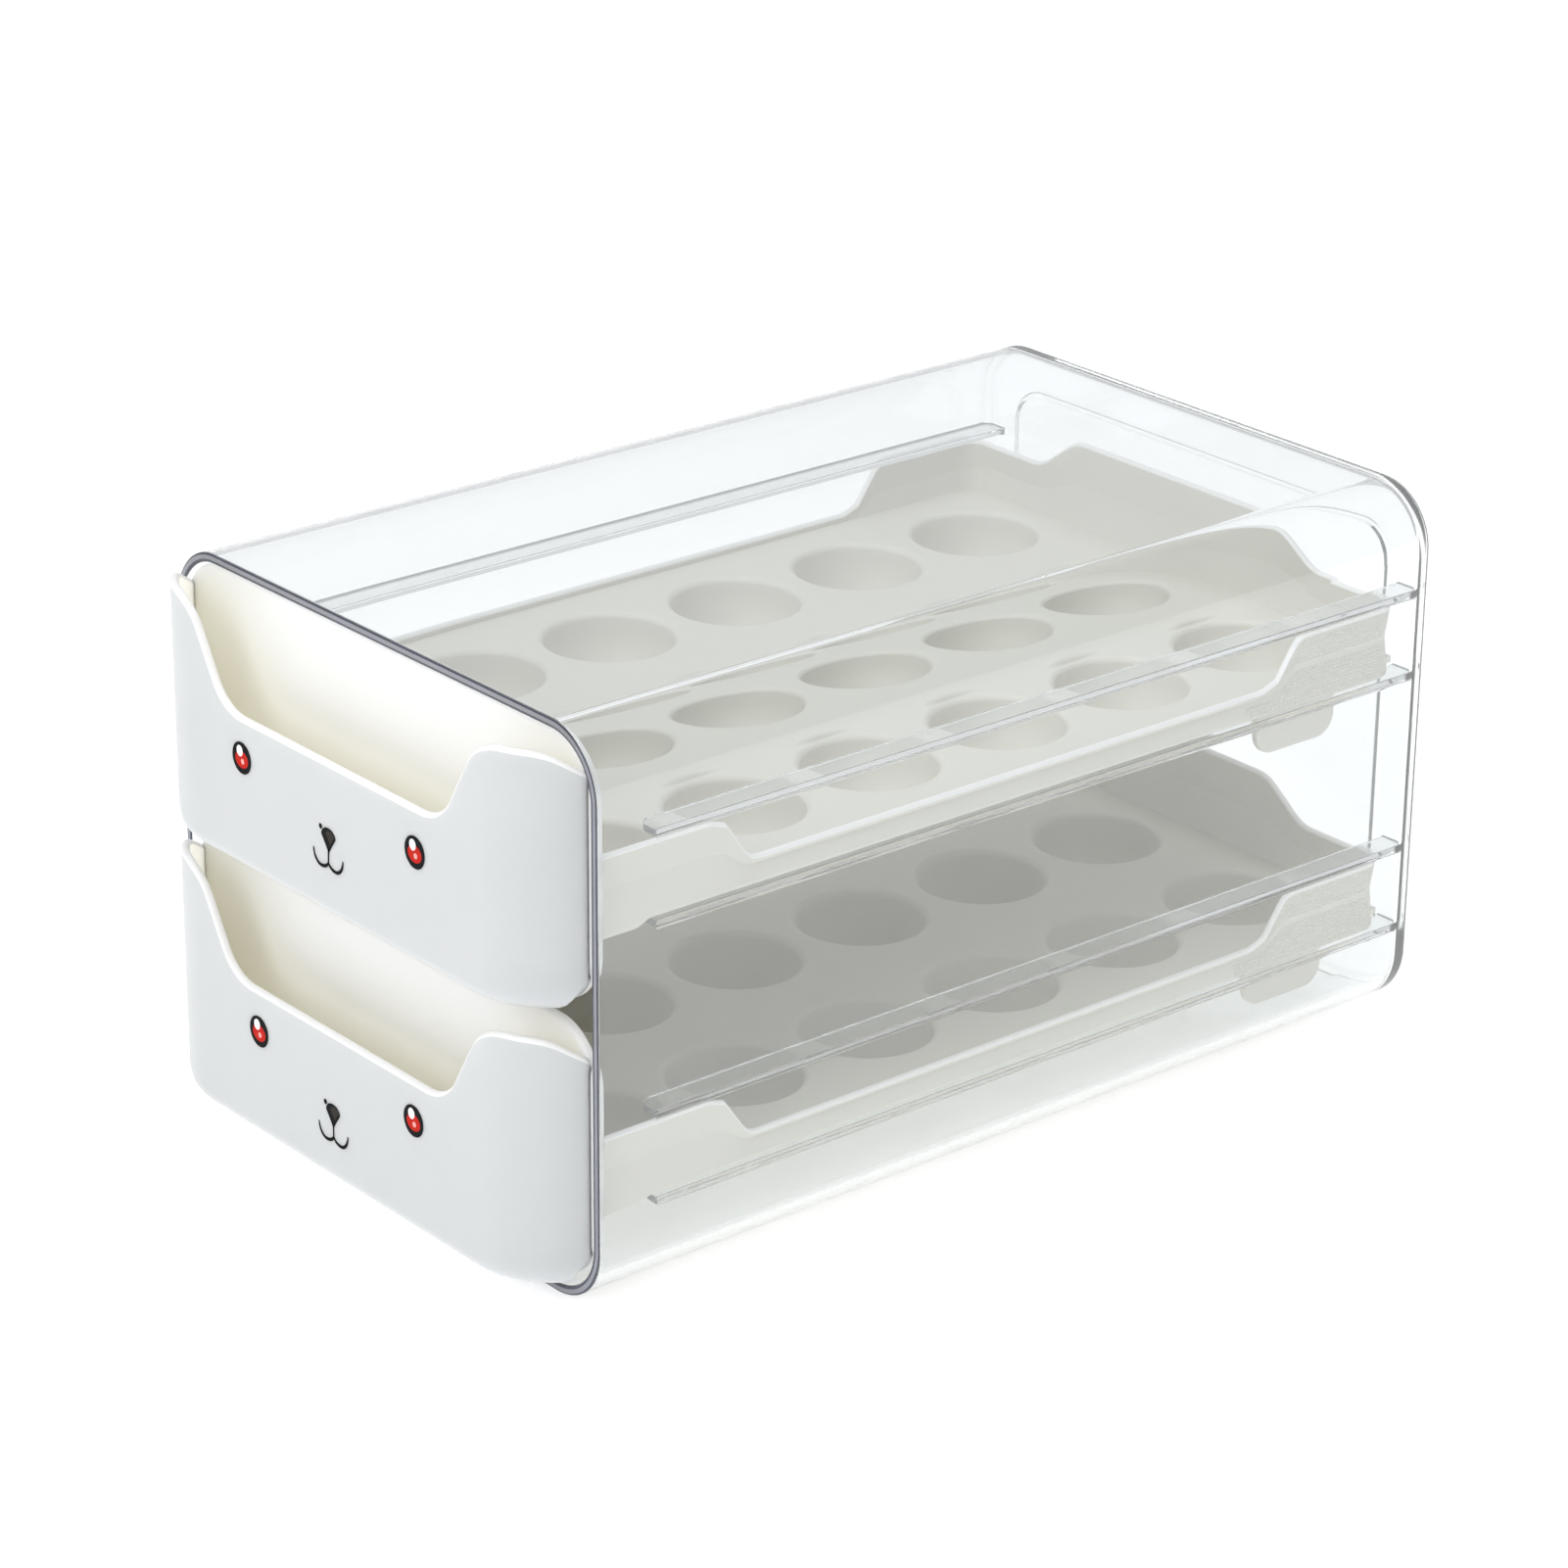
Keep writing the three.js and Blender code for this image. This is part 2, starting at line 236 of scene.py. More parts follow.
class Shell:
    """Collects closed bodies in millimetres and turns them into one mesh object."""

    def __init__(self):
        self.vertices, self.faces, self.slots = [], [], []

    def loft(self, rings, slot=lambda ring, point: 0, open_start=False):
        """Joins rings of equal length, each closed on itself, and closes the ends."""
        first, count = len(self.vertices), len(rings[0])
        for ring in rings:
            self.vertices += ring
        for i in range(len(rings) - 1):
            for k in range(count):
                a = first + i * count + k
                b = first + i * count + (k + 1) % count
                self.faces.append((a, b, b + count, a + count))
                self.slots.append(slot(i, k))
        if not open_start:
            self.faces.append(tuple(range(first, first + count)))
            self.slots.append(slot(0, 0))
        last = first + (len(rings) - 1) * count
        self.faces.append(tuple(range(last, last + count)))
        self.slots.append(slot(len(rings) - 2, 0))

    def make(self, name, materials, lift=0.0, smooth_below=SMOOTH_BELOW):
        """The mesh object, with clean seams, outward normals and flat faces shaded flat."""
        mesh = bpy.data.meshes.new(name)
        mesh.from_pydata([place(v, lift) for v in self.vertices], [], self.faces)
        for material in materials:
            mesh.materials.append(material)
        mesh.polygons.foreach_set("material_index", self.slots)
        work = bmesh.new()
        work.from_mesh(mesh)
        bmesh.ops.remove_doubles(work, verts=work.verts, dist=MERGE_DISTANCE)
        bmesh.ops.recalc_face_normals(work, faces=work.faces)
        work.to_mesh(mesh)
        work.free()
        mesh.shade_smooth()
        mesh.set_sharp_from_angle(angle=smooth_below)
        piece = bpy.data.objects.new(name, mesh)
        bpy.context.scene.collection.objects.link(piece)
        weighted = piece.modifiers.new("flat_faces_stay_flat", "WEIGHTED_NORMAL")
        weighted.keep_sharp = True
        return piece


def arc(radius, start, end, steps):
    """Points (u, v) on an arc round (0, 0), angles in degrees."""
    angles = [math.radians(start + (end - start) * i / steps) for i in range(steps + 1)]
    return [(radius * math.cos(a), radius * math.sin(a)) for a in angles]


def drawn_in(radius, past):
    """How far a quarter-round edge is drawn in, this far past the point where it starts."""
    return radius - math.sqrt(max(radius ** 2 - past ** 2, 0))


def filleted(corners):
    """A height over t: a polyline through corners (t, height, radius) with round corners."""
    stretches = []
    for i, (t, height, radius) in enumerate(corners[1:-1], 1):
        before = Vector((corners[i - 1][0] - t, corners[i - 1][1] - height)).normalized()
        after = Vector((corners[i + 1][0] - t, corners[i + 1][1] - height)).normalized()
        turn = before.angle(after)
        tangent = radius / math.tan(turn / 2)
        centre = Vector((t, height)) + (before + after).normalized() * radius / math.sin(turn / 2)
        stretches.append((t + before.x * tangent, t + after.x * tangent, centre, radius, height))

    def height_at(t):
        for start, end, centre, radius, corner in stretches:
            if start <= t <= end:
                rise = math.sqrt(max(radius ** 2 - (t - centre.x) ** 2, 0))
                return centre.y - rise if centre.y > corner else centre.y + rise
        for (t0, h0, _), (t1, h1, _) in zip(corners, corners[1:]):
            if t <= t1:
                return h0 + (h1 - h0) * (t - t0) / (t1 - t0)
        return corners[-1][1]

    return height_at


def rounded_rectangle(half, low, high, radius, steps=16):
    """Points (x, z), anticlockwise seen from the front, corners with steps segments."""
    points = []
    for x, z, start in ((half, low, -90), (half, high, 0), (-half, high, 90), (-half, low, 180)):
        inward_x = -math.copysign(radius, x)
        inward_z = radius if z == low else -radius
        points += [
            (x + inward_x + u, z + inward_z + v) for u, v in arc(radius, start, start + 90, steps)
        ]
    return points


def slab(shell, outline_at, front, back, edge, axis="y", slot=0):
    """A plate whose outline_at(inset) gives its outline, with edges rounded by edge."""
    profile = [(edge - u, edge - v) for u, v in arc(edge, 90, 0, 5)]
    levels = [(front + depth, inset) for inset, depth in profile]
    levels += [(back - depth, inset) for inset, depth in reversed(profile)]
    rings = []
    for level, inset in levels:
        outline = outline_at(inset)
        if axis == "y":
            rings.append([(x, level, z) for x, z in outline])
        else:
            rings.append([(level, y, z) for y, z in outline])
    shell.loft(rings, slot=lambda ring, point: slot)


# ---- clear case --------------------------------------------------------------------------------

def ledge_profile():
    """One ledge as (height, reach) points, from its lower to its upper root on the wall."""
    top = LEDGE_THICKNESS
    points = [(-LEDGE_FILLET + v, LEDGE_FILLET - u) for u, v in arc(LEDGE_FILLET, 0, 90, 4)]
    lower = arc(LEDGE_EDGE, -90, 0, 5)
    points += [(LEDGE_DRAFT + LEDGE_EDGE + v, LEDGE_REACH - LEDGE_EDGE + u) for u, v in lower]
    upper = arc(LEDGE_EDGE, 0, 90, 5)
    points += [(top - LEDGE_DRAFT - LEDGE_EDGE + v, LEDGE_REACH - LEDGE_EDGE + u) for u, v in upper]
    points += [(top + LEDGE_FILLET + v, LEDGE_FILLET - u) for u, v in arc(LEDGE_FILLET, -90, 0, 4)]
    return points


def case_side():
    """The points (z, reach) up one side wall, between the case's corners."""
    points = []
    for lift in TIERS.values():
        for underside in LEDGE_UNDERSIDES:
            points += [(lift + underside + z, reach) for z, reach in ledge_profile()]
    return points


CASE_SIDE = case_side()


def case_section(y, inset, corner, reach):
    """The case's cross-section at depth y, with ledges of the given reach on its side walls."""
    half = CASE_HALF - inset
    outline = rounded_rectangle(half, inset, CASE_HEIGHT - inset, corner)
    quarter = len(outline) // 4
    right = [(half - min(r, reach), z) for z, r in CASE_SIDE]
    left = [(-x, z) for x, z in reversed(right)]
    points = outline[:quarter] + right + outline[quarter:3 * quarter] + left + outline[3 * quarter:]
    return [(x, y, z) for x, z in points]


def panel_rings(wall_face, slope):
    """Sections round the stiffening panel, which stands forward of one face of the back wall."""
    rings = []
    for outward, forward in slope:
        inset = PANEL_INSET - outward * PANEL_STEP
        corner = PANEL_CORNER + outward * PANEL_STEP
        rings.append(case_section(wall_face - forward * PANEL_STEP, inset, corner, 0))
    return rings


def case_rings():
    """From the middle of the back wall's inner face, out round the rim and to its outer face."""
    back_inner = CASE_DEPTH - CASE_WALL
    wall = CASE_WALL
    inner_corner = CASE_CORNER - wall
    rings = panel_rings(back_inner, PANEL_SLOPE)
    rings.append(case_section(back_inner, wall + LEDGE_REACH + BACK_MARGIN, BACK_CORNER, 0))
    for u, v in arc(wall, 90, 0, 6):
        inset = wall + wall - u
        rings.append(case_section(back_inner - wall + v, inset, CASE_CORNER - inset,
                                  max(LEDGE_REACH - (inset - wall), 0)))
    for u, v in arc(LEDGE_NOSE, 90, 180, 8):
        reach = LEDGE_REACH - LEDGE_NOSE + v
        rings.append(case_section(LEDGE_FRONT + LEDGE_NOSE + u, wall, inner_corner, reach))
    rings.append(case_section(LEDGE_FRONT - LEDGE_NOSE_LEAN, wall, inner_corner, 0))
    for u, v in arc(RIM_EDGE, 0, -90, 4):
        inset = wall - RIM_EDGE + u
        rings.append(case_section(RIM_EDGE + v, inset, CASE_CORNER - inset, 0))
    inset = wall - RIM_EDGE - RIM_SHADE_LINE
    rings.append(case_section(0, inset, CASE_CORNER - inset, 0))
    for u, v in arc(RIM_EDGE, -90, -180, 4):
        inset = RIM_EDGE + u
        rings.append(case_section(RIM_EDGE + v, inset, CASE_CORNER - inset, 0))
    for u, v in arc(REAR_EDGE, 180, 90, 8):
        inset = REAR_EDGE + u
        rings.append(case_section(CASE_DEPTH - REAR_EDGE + v, inset, CASE_CORNER - inset, 0))
    rings.append(case_section(CASE_DEPTH, *REAR_FLAT, 0))
    return rings + panel_rings(CASE_DEPTH, reversed(PANEL_SLOPE))


def make_case(looks):
    """Clear all over, but for the rim's flat (second look, painted grey shade) and the dark lines along it
    (third, painted shade).
    """
    shell = Shell()
    rings = case_rings()
    depths = [ring[0][1] for ring in rings]
    rim_shade_rings = [i for i, depth in enumerate(depths) if depth <= RIM_SHADE_DEPTH]
    flat = [i for i in rim_shade_rings if depths[i] < FLAT][1]

    # rings on the rim get painted shade: the flat grey, the rest dark lines
    def look(ring, point):
        if ring == flat:
            return 1
        return 2 if rim_shade_rings[0] <= ring < rim_shade_rings[-1] else 0

    shell.loft(rings, slot=look)
    case = shell.make("clear_case", looks, smooth_below=CASE_SMOOTH_BELOW)
    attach(case, "case")
    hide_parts("case_shell")


# ---- drawer front ------------------------------------------------------------------------------

scoop_height = filleted([
    (0, SCOOP_BOTTOM, 0), (SCOOP_HALF, SCOOP_BOTTOM, SCOOP_FILLET),
    (SCOOP_HALF + SCOOP_RUN, EAR_TOP, SCOOP_FILLET), (2 * FRONT_HALF, EAR_TOP, 0),
])
side_height = filleted([
    (-2 * REACH, EAR_TOP, 0), (SIDE_KNEE, EAR_TOP, SIDE_FILLET), (PLATE_FRONT, SIDE_TOP, 0),
    (2 * REACH, SIDE_TOP - SIDE_SLOPE * (2 * REACH - PLATE_FRONT), 0),
])


def side_reach(y, z):
    """How far out the pocket reaches: its lower corners grow rounder towards the case."""
    start, end = CORNER_BLEND
    share = min(max((y - start) / (end - start), 0), 1)
    corner = POCKET_CORNER + (BOTTOM_CORNER - POCKET_CORNER) * share
    return FRONT_HALF - drawn_in(corner, max(FRONT_BOTTOM + corner - z, 0))


def pocket_contour(z, inset, face_y):
    """The pocket wall's outline seen from above at height z: from the middle to the plate."""
    bottom = FRONT_BOTTOM + inset
    corner = BOTTOM_CORNER - inset if inset else POCKET_CORNER
    edge = BOTTOM_EDGE - inset / 2
    half = FRONT_HALF - inset - drawn_in(corner, max(bottom + corner - z, 0))
    front = face_y + inset + drawn_in(edge, max(bottom + edge - z, 0))
    radius = WRAP_RADIUS - inset
    straight = half - radius
    sweep = math.acos(max(1 - (POCKET_END - front) / radius, -1))
    flat_steps, round_steps = 64, 30
    points = [(straight * i / flat_steps, front) for i in range(flat_steps)]
    for i in range(round_steps + 1):
        a = sweep * i / round_steps
        points.append((straight + radius * math.sin(a), front + radius * (1 - math.cos(a))))
    return points


def pocket_skin(inset, face_y, tops):
    """Rows of (x, y, z) points on one skin, from the rim down and back under the pocket."""
    upright, round_rows, underneath = POCKET_ROWS
    bottom, corner = FRONT_BOTTOM + inset, BOTTOM_CORNER - inset
    upper = pocket_contour(EAR_TOP, inset, face_y)
    rows = []
    for i in range(upright):
        share = i / upright
        rows.append([(x, y, top + (bottom + corner - top) * share) for (x, y), top in zip(upper, tops)])
    for i in range(round_rows + 1):
        z = bottom + corner * (1 - i / round_rows) ** 2
        rows.append([(x, y, z) for x, y in pocket_contour(z, inset, face_y)])
    lowest = rows[-1]
    for i in range(1, underneath + 1):
        share = i / underneath
        rows.append([(x, y + (POCKET_END - y) * share, z) for x, y, z in lowest])
    return rows


def pocket_lip(outer, inner):
    """Rows over the wall's half-round top, from the outer skin's first row to the inner one's."""
    rows = []
    for i in range(1, POCKET_LIP_STEPS):
        a = math.pi * i / POCKET_LIP_STEPS
        share, rise = (1 - math.cos(a)) / 2, FRONT_WALL / 2 * math.sin(a)
        rows.append([(xo + (xi - xo) * share, yo + (yi - yo) * share, zo + rise)
                     for (xo, yo, zo), (xi, yi, _) in zip(outer, inner)])
    return rows


def pocket_columns(face_y):
    """Closed upright sections of the pocket's wall and floor, from its middle to the plate.

    Also the points of each section between which the wall's rim lies.
    """
    high = pocket_contour(EAR_TOP, 0, face_y)
    tops = [min(scoop_height(x), side_height(y)) - FRONT_WALL / 2 for x, y in high]
    outer = [[(min(x, side_reach(y, z)), y, z) for x, y, z in row]
             for row in pocket_skin(0, face_y, tops)]
    inner = pocket_skin(FRONT_WALL, face_y, tops)
    rows = outer[::-1] + pocket_lip(outer[0], inner[0]) + inner
    rim_start = len(outer) - 1
    return [list(column) for column in zip(*rows)], rim_start, rim_start + POCKET_LIP_STEPS


def make_front(tier, lift, looks):
    """The pocket (outside in the first look, a greyer copy of the white with painted shade; inside in the
    second, a cream copy with painted light) and the plate (the third).
    """
    shell = Shell()
    columns, rim_start, rim_end = pocket_columns(-REACH + INK_DEPTH)
    left = [[(-x, y, z) for x, y, z in column] for column in reversed(columns[1:])]

    # outside rows get the painted shade look, inside rows the painted light look
    def look(column, row):
        if row < rim_start:
            return 0
        return 2 if row < rim_end else 1

    shell.loft(left + columns, slot=look)

    def plate(inset):
        return rounded_rectangle(FRONT_HALF - inset, FRONT_BOTTOM + inset, FRONT_TOP - inset,
                                 PLATE_CORNER - inset, steps=24)

    slab(shell, plate, PLATE_FRONT, PLATE_BACK, PLATE_EDGE, slot=2)
    piece = shell.make(f"{tier}_front_moulding", looks, lift)
    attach(piece, f"{tier}_drawer")
    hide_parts(f"{tier}_drawer_front")


# ---- tray --------------------------------------------------------------------------------------

tray_side_rim = filleted([
    (0, RIM_HIGH, 0),
    (RIM_STEPS[0] - RIM_STEP_RUN, RIM_HIGH, RIM_STEP_FILLET),
    (RIM_STEPS[0] + RIM_STEP_RUN, RIM_LOW, RIM_STEP_FILLET),
    (RIM_STEPS[1] - RIM_STEP_RUN, RIM_LOW, RIM_STEP_FILLET),
    (RIM_STEPS[1] + RIM_STEP_RUN, RIM_HIGH, RIM_STEP_FILLET),
    (2 * TRAY_BACK, RIM_HIGH, 0),
])
tray_back_rim = filleted([
    (0, ARCH_TOP, 0), (ARCH_HALF, ARCH_TOP, ARCH_FILLET),
    (ARCH_HALF + ARCH_RUN, RIM_HIGH, ARCH_FILLET), (2 * TRAY_HALF, RIM_HIGH, 0),
])
tray_side_bottom = filleted([
    (0, LIP_BOTTOM, 0), (LIP_END - LIP_RUN, LIP_BOTTOM, LIP_FILLET),
    (LIP_END + LIP_RUN, TRAY_BOTTOM, LIP_FILLET), (2 * TRAY_BACK, TRAY_BOTTOM, 0),
])


def tray_path(side_inset, back_inset, depths, across):
    """The wall's outline seen from above: the left side, round the back and down the right side."""
    half, back = TRAY_HALF - side_inset, TRAY_BACK - back_inset
    radius = max(TRAY_CORNER - max(side_inset, back_inset), 0.4)
    straight = back - radius
    right = [(half, y * straight / (TRAY_BACK - TRAY_CORNER)) for y in depths]
    corner = [(half - radius + u, straight + v) for u, v in arc(radius, 0, 90, 12)]
    rear = [(x * (half - radius) / (TRAY_HALF - TRAY_CORNER), back) for x in across]
    quarter = right + corner + rear
    return [(-x, y) for x, y in quarter] + [(x, y) for x, y in reversed(quarter[:-1])]


def spread(start, end, step, marks=()):
    """Values from start to end about step apart, with a finer step near each mark."""
    values, t = [start], start
    while t < end - step / 2:
        near = any(abs(t - mark) < FINE_REACH for mark in marks)
        t += min(step, FINE_PITCH) if near else step
        values.append(min(t, end))
    values[-1] = end
    return values


def tray_rim(x, y):
    """The rim's height: the side walls' own, which turns into the back wall's in the corners."""
    blend = min(max((y - (TRAY_BACK - TRAY_CORNER)) / TRAY_CORNER, 0), 1)
    return tray_side_rim(y) * (1 - blend) + tray_back_rim(abs(x)) * blend


def tray_underside(inset, depths, across):
    """The row this far in from the outer face: a round lower edge at the sides, a heel behind."""
    edge = drawn_in(TRAY_EDGE, max(TRAY_EDGE - inset, 0))
    row = []
    for x, y in tray_path(inset, inset, depths, across):
        past = max(y - (TRAY_BACK - TRAY_HEEL), 0)
        blend = min(past / TRAY_HEEL * 2, 1)
        row.append((x, y, tray_side_bottom(y) + drawn_in(TRAY_HEEL, past) + edge * (1 - blend)))
    return row


def make_tray_walls(shell):
    """The walls and the flange round the deck, lofted along the walls."""
    wall = TRAY_WALL
    depths = spread(PLATE_BACK - TRAY_OVERLAP, TRAY_BACK - TRAY_CORNER, TRAY_PITCH,
                    marks=(*RIM_STEPS, LIP_END))
    across = [-v for v in spread(-(TRAY_HALF - TRAY_CORNER), 0, BACK_PITCH)][1:]
    base = tray_path(0, 0, depths, across)
    tops = [tray_rim(x, y) for x, y in base]
    bottoms = [tray_side_bottom(y) for _, y in base]

    rows = []
    for u, v in arc(wall / 2, 180, 0, RIM_ROUND_STEPS):
        path = tray_path(wall / 2 - u, wall / 2 - u, depths, across)
        rows.append([(x, y, top - wall / 2 + v) for (x, y), top in zip(path, tops)])
    rows.append([(x, y, FLANGE_TOP) for x, y in tray_path(wall, wall, depths, across)])
    flange = tray_path(FLANGE_SIDE, FLANGE_BACK, depths, across)
    rows.append([(x, y, FLANGE_LEDGE) for x, y in flange])
    rows.append([(x, y, bottom + FLANGE_EDGE) for (x, y), bottom in zip(flange, bottoms)])
    edge = tray_path(FLANGE_SIDE - FLANGE_EDGE, FLANGE_BACK - FLANGE_EDGE, depths, across)
    rows.append([(x, y, bottom) for (x, y), bottom in zip(edge, bottoms)])
    rows += [tray_underside(inset, depths, across) for inset in UNDERSIDE_INSETS]
    # the rim's round rows get the lighter copy: painted light
    shell.loft([list(section) for section in zip(*rows)],
               slot=lambda section, row: 1 if row < RIM_ROUND_STEPS else 0)


def cell_border(x0, x1, y0, y1):
    """Points round one cup's cell of the deck, from its front right corner to the back and on."""
    corners = [(x1, y0), (x1, y1), (x0, y1), (x0, y0)]
    points = []
    for (ax, ay), (bx, by) in zip(corners, corners[1:] + corners[:1]):
        for i in range(CELL_STEPS):
            share = i / CELL_STEPS
            points.append((ax + (bx - ax) * share, ay + (by - ay) * share))
    return points


def cup_profile(surface, wall, lip):
    """(radius, height) from the deck's surface down to the cup's middle, on one skin."""
    rows = [(CUP_RADIUS + lip + wall, surface)]
    rows += [(CUP_RADIUS + wall + lip - u, surface - lip + v)
             for u, v in arc(lip, 90, CUP_LIP_LEAN, 5)][1:]
    top = surface - lip
    depth = CUP_DEPTH + wall - (DECK_TOP - top)
    for j in range(1, CUP_RINGS + 1):
        drop = depth * math.sin(math.pi / 2 * j / CUP_RINGS)
        share = (drop / (depth * CUP_STRETCH)) ** CUP_FULLNESS
        rows.append((max((CUP_RADIUS + wall) * (1 - share) ** (1 / CUP_FULLNESS), CUP_FLOOR), top - drop))
    rows.append((CUP_FLOOR * CUP_MIDDLE, top - depth))
    return rows


def make_cup_skin(shell, border, middle, surface, wall, lip):
    """The upper or lower skin of a cup and of the deck round it, open along the cell's border."""
    x, y = middle
    turns = [math.radians(-45 + 360 * k / len(border)) for k in range(len(border))]
    rings = [[(bx, by, surface) for bx, by in border]]
    for radius, z in cup_profile(surface, wall, lip):
        rings.append([(x + radius * math.cos(a), y + radius * math.sin(a), z) for a in turns])
    shell.loft(rings, open_start=True)


def make_deck_edge(shell, border, side):
    """The deck's upright edge along one side of a cell, between its two skins."""
    stretch = [border[(side * CELL_STEPS + i) % len(border)] for i in range(CELL_STEPS + 1)]
    first = len(shell.vertices)
    shell.vertices += [(x, y, DECK_TOP) for x, y in stretch]
    shell.vertices += [(x, y, DECK_BOTTOM) for x, y in stretch]
    for a in range(first, first + CELL_STEPS):
        shell.faces.append((a, a + 1, a + CELL_STEPS + 2, a + CELL_STEPS + 1))
        shell.slots.append(0)


def make_deck(shell):
    """The tray's floor: a plate with round cups, one cell to a cup."""
    half = TRAY_HALF - TRAY_WALL + DECK_OVERLAP
    xs = (-half, -CELL_HALF, CELL_HALF, half)
    ys = [PLATE_BACK - DECK_OVERLAP]
    ys += [ROW_START + ROW_PITCH * i for i in range(1, CUP_ROWS)]
    ys.append(TRAY_BACK - TRAY_WALL + DECK_OVERLAP)
    last_column = len(CUPS_ACROSS) - 1
    cells = {
        (column, row): cell_border(xs[column], xs[column + 1], ys[row], ys[row + 1])
        for column in range(len(CUPS_ACROSS)) for row in range(CUP_ROWS)
    }
    for surface, wall, lip in DECK_SKINS:
        for (column, row), border in cells.items():
            middle = (CUPS_ACROSS[column], ROW_START + ROW_PITCH * row + ROW_PITCH / 2)
            make_cup_skin(shell, border, middle, surface, wall, lip)
    for (column, row), border in cells.items():
        outer_sides = ((row == 0, FRONT), (column == last_column, RIGHT),
                       (row == CUP_ROWS - 1, BACK), (column == 0, LEFT))
        for at_edge, side in outer_sides:
            if at_edge:
                make_deck_edge(shell, border, side)


def make_feet(shell):
    """The two tabs that hang below the tray near its back."""
    def outline(inset):
        low, high = FOOT_BOTTOM + inset, FOOT_TOP
        front, back = FOOT_FRONT + inset, FOOT_FRONT + FOOT_LENGTH - inset
        radius = FOOT_CORNER - inset
        points = [(back - radius + u, low + radius + v) for u, v in arc(radius, -90, 0, 10)]
        points += [(back, high), (front, high)]
        points += [(front + radius + u, low + radius + v) for u, v in arc(radius, 180, 270, 10)]
        return points

    for side in (-1, 1):
        inner, outer = side * FOOT_INNER, side * (FOOT_INNER + FOOT_THICKNESS)
        slab(shell, outline, inner, outer, side * FOOT_EDGE, axis="x")


def make_tray(tier, lift, looks):
    """The tray in the first look, with its walls' rim in the second, a lighter copy of the white with
    painted light.
    """
    shell = Shell()
    make_tray_walls(shell)
    make_deck(shell)
    make_feet(shell)
    piece = shell.make(f"{tier}_tray_moulding", looks, lift)
    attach(piece, f"{tier}_drawer")
    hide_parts(f"{tier}_tray", *[f"{tier}_egg_row_{i + 1}" for i in range(CUP_ROWS)])


# ---- materials ---------------------------------------------------------------------------------

PLASTIC_IOR = 1.49
CLOUD_SCALE = 18                  # soft variation of colour and gloss
GLOSS_SPREAD = 0.05               # of the roughness, to either side
GRAIN_DISTANCE = 0.0001
WEAVE_STRENGTH = 0.7
WEAVE_DISTANCE = 0.0003
SUBSURFACE_RADIUS = (1.0, 0.99, 0.97)
FLOW_SCALE = 9                    # the slow waviness of polished clear plastic
FLOW_STRENGTH = 0.006
FLOW_DISTANCE = 0.001
STREAK_SCALE = 60
SPECKLE_SCALE = 900
SPECKLE_GAIN = 1.25               # how much lighter ink's speckles are
SPECKLE_LIFT = 0.01


class Look:
    """A node material, with the few set-ups that several materials share."""

    def __init__(self, name, fixed):
        """fixed holds the shader's values that are the same all over the surface."""
        self.material = bpy.data.materials.new(name)
        self.material.use_nodes = True
        self.nodes = self.material.node_tree.nodes
        self.links = self.material.node_tree.links
        self.shader = self.nodes["Principled BSDF"]
        self.where = self.nodes.new("ShaderNodeTexCoord").outputs["Object"]
        for socket, value in fixed.items():
            self.shader.inputs[socket].default_value = value

    def noise(self, scale, detail=2.0):
        """A soft random value over the surface, between 0 and 1."""
        node = self.nodes.new("ShaderNodeTexNoise")
        node.inputs["Scale"].default_value = scale
        node.inputs["Detail"].default_value = detail
        self.links.new(self.where, node.inputs["Vector"])
        return node.outputs["Fac"]

    def tint(self, share, colour, shade):
        """Colours the surface from colour to shade, by share."""
        node = self.nodes.new("ShaderNodeMix")
        node.data_type = "RGBA"
        node.inputs["A"].default_value = (*colour, 1)
        node.inputs["B"].default_value = (*shade, 1)
        self.links.new(share, node.inputs["Factor"])
        self.links.new(node.outputs["Result"], self.shader.inputs["Base Color"])

    def bump(self, height, strength, distance, under=None):
        """Relief by height, on top of the relief in under; returns its normals."""
        node = self.nodes.new("ShaderNodeBump")
        node.inputs["Strength"].default_value = strength
        node.inputs["Distance"].default_value = distance
        self.links.new(height, node.inputs["Height"])
        if under:
            self.links.new(under, node.inputs["Normal"])
        return node.outputs["Normal"]

    def math(self, operation, first, second=None):
        """A math node on two values, each a socket or a number; returns its result."""
        node = self.nodes.new("ShaderNodeMath")
        node.operation = operation
        for socket, value in zip(node.inputs, (first, second)):
            if isinstance(value, bpy.types.NodeSocket):
                self.links.new(value, socket)
            elif value is not None:
                socket.default_value = value
        return node.outputs[0]


def weave(look):
    """A fine diagonal lattice on the outside of a tray's side walls, behind WEAVE_START only."""
    axes = look.nodes.new("ShaderNodeSeparateXYZ")
    look.links.new(look.where, axes.inputs[0])
    x, y, z = axes.outputs
    pace = 2 * math.pi / (WEAVE_PITCH * MM)
    rising = look.math("SINE", look.math("MULTIPLY", look.math("ADD", y, z), pace))
    falling = look.math("SINE", look.math("MULTIPLY", look.math("SUBTRACT", y, z), pace))
    behind = look.math("GREATER_THAN", y, CASE_LOW.y + WEAVE_START * MM)
    outside = look.math("GREATER_THAN", look.math("ABSOLUTE", x), (TRAY_HALF - TRAY_WALL / 2) * MM)
    lattice = look.math("MULTIPLY", rising, falling)
    return look.math("MULTIPLY", look.math("MULTIPLY", lattice, behind), outside)


